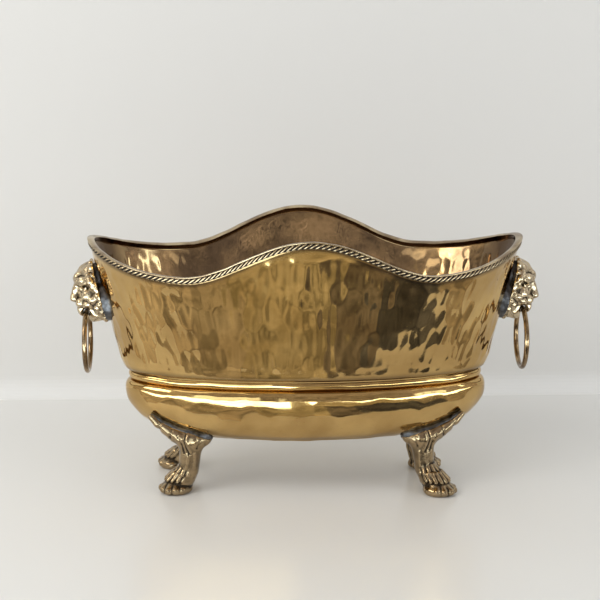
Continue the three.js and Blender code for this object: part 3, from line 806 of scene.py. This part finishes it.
def mask_clay():
    """A lion's face: x out from its flat back, y across, z up it. The face is the same on both sides."""
    clay = Clay((-1.5, -24.6, -30), (31, 24.7, 31), 0.42)
    side = clay.y.copy()
    clay.y = np.abs(clay.y)
    clay.add(clay.ellipsoid((-1, 0, 0), (12, 20.5, 26)))
    clay.add(clay.ellipsoid((9, 0, 0), (10.5, 11, 14)), 3)
    clay.add(clay.ellipsoid((9.5, 0, -14.5), (6.6, 9, 9)), 2)
    clay.add(clay.ellipsoid((3.5, 0, 14.5), (10, 13.5, 11.5)), 3)
    clay.add(clay.cone((9.5, 0, 19), (14.5, 2.5, 15), 4.8, 4.6), 3)
    brow = [(16.2, 2.6, 13.2, 3.4), (14.8, 7.6, 13.2, 3.0), (11.4, 12, 13.8, 2.6), (6.4, 16, 14.6, 2.2)]
    clay.add(clay.chain(brow, 1.5), 1.6)
    second_brow = [(15.6, 5.6, 10.4, 1.4), (12.6, 11, 10.4, 1.4), (8.4, 15.4, 11.4, 1.3), (4, 18, 13, 1.1)]
    clay.add(clay.chain(second_brow, 1), 0.9)
    clay.cut(clay.ellipsoid((18.2, 7.6, 7.4), (3.6, 4.4, 2.8)), 1.6)
    clay.add(clay.ellipsoid((13.4, 7.4, 6.6), (3.4, 4.2, 2.5)), 0.5)
    lower_lid = [(14.6, 3.8, 5.6, 0.8), (14.8, 7.4, 4.0, 1.0), (12.4, 11.4, 5.0, 0.9), (9.4, 14, 7.4, 0.8)]
    clay.add(clay.chain(lower_lid, 0.3), 0.6)
    clay.add(clay.chain([(15.2, 0, 11.5, 3.9), (19.2, 0, 5.6, 3.6), (22.0, 0, 1.0, 3.6)], 1), 1.8)
    clay.add(clay.ellipsoid((22.6, 1.4, -1.0), (3.9, 3.7, 3.4)), 1.2)
    clay.cut(clay.ellipsoid((25.2, 2.3, -3.6), (1.4, 1.1, 1.1)), 0.5)
    clay.add(clay.ellipsoid((8.6, 12.6, 0.6), (6.4, 5.4, 5.0)), 1.4)
    clay.add(clay.ellipsoid((5.4, 15.6, -3.6), (5.4, 4.2, 4.0)), 1.0)
    clay.add(clay.ellipsoid((16.4, 4.4, -5.4), (6.2, 5.0, 4.8)), 1.2)
    clay.add(clay.ellipsoid((11, 9.6, -7.4), (5.6, 4.4, 4.2)), 1.2)
    clay.add(clay.ellipsoid((18.6, 0.8, -12), (4.6, 6.0, 6.2)), 1.4)
    clay.cut(clay.cone((23.8, 0, -6), (23.6, 0, -13), 0.7, 0.6), 0.6)
    clay.add(clay.ellipsoid((6.6, 0, -18.6), (8.0, 9.8, 6.0)), 2)
    clay.add(clay.ellipsoid((10.2, 2.8, -21), (4.2, 3.8, 3.2)), 1)
    clay.add(clay.chain([(4.4, 14.6, -11, 3.0), (3.6, 12.6, -16, 2.8), (3.4, 9.6, -21, 2.4)], 1), 1)
    clay.add(clay.chain([(5, 15, 17, 2.6), (4.2, 18, 12.4, 2.4), (3.6, 18.4, 7.4, 2.0)], 1), 0.9)
    for k in range(9):
        turn = math.radians(66 - 19 * k)
        root = (6.4 - 0.2 * k, 12 * math.cos(turn), 1 + 15 * math.sin(turn))
        tip = (1.6, 20 * math.cos(turn + 0.16), 0.5 + 26 * math.sin(turn + 0.16))
        if root[1] > 0:
            clay.add(clay.cone(root, tip, 2.7, 1.8), 1.2)
    bearing = np.arctan2(clay.z - 1, clay.y)
    spread = np.sqrt(clay.y ** 2 + (clay.z - 1) ** 2)
    fur = np.sin(17 * bearing + 0.4 * spread) * np.clip((spread - 9) / 6, 0, 1)
    clay.y = side
    places = clay.places()
    clay.field += 0.22 * fur + 0.12 * ripple(places, 6, SEED + 15) * np.clip((spread - 6) / 6, 0, 1)
    wire = (RING_HIGH[0] - RING_LOW[0]) / 2
    bend = (RING_HIGH[1] - RING_LOW[1]) / 2 - wire
    from_hinge = np.sqrt((clay.x - MOUTH_OUT) ** 2 + (clay.z - MOUTH_UP) ** 2)
    in_middle = smooth_max(from_hinge - 3.9, 4 - np.abs(clay.y), 0)
    clay.cut(in_middle, 0.4)
    drop = bend - np.sqrt(np.maximum(bend ** 2 - clay.y ** 2, 0))
    clay.cut(from_hinge - (drop + wire + 0.4), 0.3)
    clay.cut(clay.x + 0.3)
    return clay


def to_mask_place(points):
    tilt = np.array(Matrix.Rotation(MASK_TILT, 3, "Y"))
    return points @ tilt.T + np.array(MASK_PLACE)


def mask_solder_and_shade_clay():
    """Grey solder packed behind the lower part of a mask, and a narrow dark spine behind its upper part
    that stands in for the shade in the gap to the wall, in the mask's own frame.
    """
    clay = Clay((-12, -21, -29), (1.5, 21, 25), 0.5)
    wobble = ripple(clay.places(), 8, SEED + 17)
    clay.add(clay.ellipsoid((-4, 0, -9.5), (30, 19.2, 17.2)) + 0.4 * wobble)
    # Painted shade: a narrow dark spine behind the mask's upper part fills the gap to the wall, where there
    # is only shade
    clay.add(clay.ellipsoid((-4, 0, 4), (30, 8, 19)) + 0.4 * wobble, 3)
    clay.keep(clay.x - 0.1 - 0.2 * wobble)
    world = to_mask_place(clay.places())
    share = (world[..., 2] - WALL_ROOT[2]) / (END_Z - COLLAR_FOOT_DROP - WALL_ROOT[2])
    a = WALL_ROOT[0] + (RIM[0] - WALL_INSET - WALL_ROOT[0]) * share
    b = WALL_ROOT[1] + (RIM[1] - WALL_INSET - WALL_ROOT[1]) * share
    clay.cut((np.sqrt((world[..., 0] / a) ** 2 + (world[..., 1] / b) ** 2) - 1) * a + 0.8)
    return clay


def lion_masks():
    parts = []
    for clay in (mask_clay(), mask_solder_and_shade_clay()):
        points, faces, recess = cast_from(clay)
        parts.append((to_mask_place(points), faces, recess))
    for place, turn in (("right", 0.0), ("left", math.pi)):
        face = copy_of(parts[0], f"lion_face_{place}", [MASK], turn)
        install(face, "pot", "old_brass", f"lion_mask_{place}")
        # The solder pad, with the dark spine that stands for shade behind the mask
        pad = copy_of(parts[1], f"solder_pad_and_shade_{place}", [SOLDER], turn)
        install(pad, "pot", "solder", f"mask_solder_{place}")


# ------------------------------------------------------------------ rings
def ring(side, body, node):
    """A forged ring: the wire varies a little in thickness."""
    low, high = box_mm(node)
    centre = (low + high) / 2
    wire = (high[0] - low[0]) / 2
    radius = (high[1] - low[1]) / 2 - wire
    around, sides = 160, 20
    turn, bend = np.meshgrid(angles_round(around), angles_round(sides), indexing="ij")
    thick = wire * (1 - 0.05 * (1 + np.sin(5 * turn + side)) / 2)
    reach = radius + thick * np.cos(bend)
    points = np.stack([thick * np.sin(bend), reach * np.sin(turn), reach * np.cos(turn)], -1) + centre
    obj = mesh_object(f"{body}_wire", points.reshape(-1, 3), loop_faces(around, sides), [BRONZE])
    install(obj, body, "bronzed_brass", node)


# ------------------------------------------------------------------ stage, light and camera
CAMERA_AZIMUTH = math.radians(-2.4)
CAMERA_TURN = math.radians(0.22)
CAMERA_PITCH = math.radians(11.76)
CAMERA_REACH = 1.235
CAMERA_HEIGHT = 0.4154
FOCAL = 90
BACKDROP_Y = 0.286
ONE_FACE = [(0, 1, 2, 3)]              # the faces of a sheet that is given by its four corners


def stage_material(name, colour, rough, specular=0.5):
    """A plain surface that doesn't hide the pot from a camera behind it."""
    n = Nodes(name)
    shade = n.spread(n.noise(2.0, 2.0), 0.3, 0.7)
    tone = n.mix(shade, colour, tuple(0.985 * c for c in colour))
    n.finish(base_color=tone, roughness=rough, specular_ior_level=specular)
    return n.one_sided(n.shader.outputs[0])


def stage_object(name, points, faces, *materials):
    """A surface round the pot, from points in metres; it isn't part of the pot."""
    mesh = bpy.data.meshes.new(name)
    mesh.from_pydata(points, [], faces)
    for material in materials:
        mesh.materials.append(material)
    obj = bpy.data.objects.new(name, mesh)
    bpy.context.scene.collection.objects.link(obj)
    return obj


def floor_and_backdrop():
    """A floor that sweeps up into a wall behind the pot, and a little lower floor behind that wall."""
    wide, deep, tall, cove, steps = 6.0, 4.0, 3.5, 0.02, 8
    profile = [(-deep, 0.0)]
    for i in range(steps + 1):
        turn = math.pi / 2 * i / steps
        profile.append((BACKDROP_Y - cove + cove * math.sin(turn), cove - cove * math.cos(turn)))
    profile.append((BACKDROP_Y, tall))
    points = [(x, y, z) for y, z in profile for x in (-wide / 2, wide / 2)]
    faces = [(2 * i, 2 * i + 1, 2 * i + 3, 2 * i + 2) for i in range(len(profile) - 1)]
    floor = stage_material("pale_floor", (0.76, 0.75, 0.715), 0.25)
    wall = stage_material("pale_wall", (0.80, 0.795, 0.765), 0.9, 0.1)
    sweep = stage_object("sweep", points, faces, floor, wall)
    sweep.data.polygons.foreach_set("material_index", [0] + [1] * (len(faces) - 1))
    behind = rectangle_z(-0.001, -wide / 2, wide / 2, BACKDROP_Y - cove, deep)
    stage_object("floor_behind", behind, ONE_FACE, floor)


def card(name, corners, colour, strength, uneven, cloud_scale=5):
    """A glowing panel that only polished metal sees: the room reflected in the brass."""
    n = Nodes(name)
    n.tree.nodes.remove(n.shader)
    level = n.spread(n.noise(cloud_scale), 0.3, 0.7, strength * (1 - uneven), strength * (1 + uneven))
    glow = n.add("ShaderNodeEmission", {"Color": (*colour, 1), "Strength": level})
    material = n.one_sided(glow.outputs[0])
    material.cycles.emission_sampling = "NONE"
    obj = stage_object(name, corners, ONE_FACE, material)
    obj.visible_camera = False
    obj.visible_diffuse = False
    obj.visible_transmission = False
    obj.visible_volume_scatter = False
    obj.visible_shadow = False
    return obj


def rectangle_y(y, x0, x1, z0, z1):
    """Corners of an upright panel across the room that faces +Y."""
    return [(x1, y, z0), (x0, y, z0), (x0, y, z1), (x1, y, z1)]


def rectangle_x(x, y0, y1, z0, z1, turned=False):
    """Corners of an upright panel along the room that faces +X, or -X if turned."""
    corners = [(x, y0, z0), (x, y1, z0), (x, y1, z1), (x, y0, z1)]
    return corners[::-1] if turned else corners


def rectangle_z(z, x0, x1, y0, y1, turned=False):
    """Corners of a level panel that faces up, or down if turned."""
    corners = [(x0, y0, z), (x1, y0, z), (x1, y1, z), (x0, y1, z)]
    return corners[::-1] if turned else corners


def reflected_room():
    """What the polished brass mirrors: a dim room with windows, and the floor in front of the table."""
    left, right, front, top = -2.4, 2.6, -3.2, 2.4
    skirt, far = 0.002, -0.262                  # just over the floor; where the strips before the pot end
    white, cream, beige, gold = (0.86, 0.97, 1.0), (1.0, 0.95, 0.84), (1.0, 0.90, 0.76), (1.0, 0.90, 0.68)
    umber, slate = (1.0, 0.90, 0.86), (0.86, 0.88, 1.0)
    card("front_wall", rectangle_y(front, left, right, 0, top), umber, 0.36, 0.9)
    card("window_front", rectangle_y(front + 0.02, -2.2, -0.45, 0.15, 1.6), white, 2.4, 0.2)
    card("ceiling", rectangle_z(top, left, right, front, BACKDROP_Y, True), umber, 0.45, 0.9)
    card("ceiling_left", rectangle_z(top - 0.02, -2.1, -0.7, -1.7, -0.9, True), cream, 1.7, 0.3)
    card("ceiling_right", rectangle_z(top - 0.02, 1.7, right, -1.6, BACKDROP_Y, True), cream, 1.3, 0.3)
    card("left_wall", rectangle_x(left, front, BACKDROP_Y, 0, top), beige, 0.6, 0.8)
    card("window_left", rectangle_x(left + 0.02, -1.75, -0.4, 1.12, 2.05), cream, 6.5, 0.7)
    card("right_wall", rectangle_x(right, front, BACKDROP_Y, 0, top, True), umber, 0.5, 0.8)
    card("window_right", rectangle_x(right - 0.02, -2.8, -1.7, 0.15, 1.2, True), white, 2.4, 0.2)
    card("window_slit", rectangle_x(right - 0.02, -0.85, -0.55, 1.1, 2.0, True), white, 4.5, 0.3)
    strips = (
        ("floor_far_left", left, -0.25, -0.05, beige, 0.62),
        ("floor_left", -0.25, -0.075, -0.105, beige, 0.48),
        ("floor_middle", -0.075, 0.03, -0.128, gold, 0.48),
        ("floor_brown", 0.03, 0.085, -0.128, umber, 0.2),
        ("floor_dark", 0.085, 0.155, -0.132, slate, 0.12),
        ("floor_dark_right", 0.155, 0.25, -0.108, slate, 0.12),
        ("floor_right", 0.25, right, -0.05, beige, 0.42))
    for name, start, end, near, colour, strength in strips:
        card(name, rectangle_z(skirt, start, end, far, near), colour, strength, uneven=0.6, cloud_scale=28)
    glare = (
        ("glare_left", left, -0.02, white, 6.8), ("glare_middle", -0.02, 0.42, gold, 0.55),
        ("glare_right", 0.42, right, white, 7.0))
    for name, start, end, colour, strength in glare:
        card(name, rectangle_z(skirt, start, end, front, far), colour, strength, uneven=0.6, cloud_scale=14)


def area_light(name, place, size, power, colour=(1, 1, 1), aim=(0, 0, 0.1)):
    light = bpy.data.lights.new(name, "AREA")
    light.shape = "RECTANGLE"
    light.size, light.size_y = size
    light.energy = power
    light.color = colour
    obj = bpy.data.objects.new(name, light)
    obj.location = place
    obj.rotation_euler = (Vector(aim) - Vector(place)).to_track_quat("-Z", "Y").to_euler()
    bpy.context.scene.collection.objects.link(obj)
    obj.visible_glossy = False
    return obj


def studio():
    scene = bpy.context.scene
    world = bpy.data.worlds.new("soft_room")
    world.use_nodes = True
    world.node_tree.nodes["Background"].inputs["Color"].default_value = (0.94, 0.96, 1.0, 1)
    world.node_tree.nodes["Background"].inputs["Strength"].default_value = 0.75
    scene.world = world
    scene.view_settings.view_transform = "Standard"
    area_light("key_left", (-1.2, -1.3, 1.5), (1.6, 1.6), 14, (1.0, 0.97, 0.92))
    area_light("fill_right", (1.5, -1.0, 1.2), (1.4, 1.4), 3.8)
    area_light("wall_wash", (-1.1, -0.7, 1.2), (0.8, 0.8), 4.5, aim=(-0.3, BACKDROP_Y, 0.55))


def camera():
    data = bpy.data.cameras.new("view")
    data.sensor_width = 36
    data.lens = FOCAL
    obj = bpy.data.objects.new("view", data)
    bpy.context.scene.collection.objects.link(obj)
    obj.location = (
        CAMERA_REACH * math.sin(CAMERA_AZIMUTH), -CAMERA_REACH * math.cos(CAMERA_AZIMUTH), CAMERA_HEIGHT)
    heading = CAMERA_AZIMUTH + CAMERA_TURN
    forward = Vector((
        -math.sin(heading) * math.cos(CAMERA_PITCH), math.cos(heading) * math.cos(CAMERA_PITCH),
        -math.sin(CAMERA_PITCH)))
    obj.rotation_euler = forward.to_track_quat("-Z", "Y").to_euler()
    bpy.context.scene.camera = obj


# ------------------------------------------------------------------ build
upper_wall()
lower_bowl()
base_plate()
rim_lip()
rope_trim()
waist_bead()
for side, name in ((0, "ring_right"), (1, "ring_left")):
    ring(side, f"{name}_body", name)
paw_feet()
lion_masks()
floor_and_backdrop()
reflected_room()
studio()
camera()
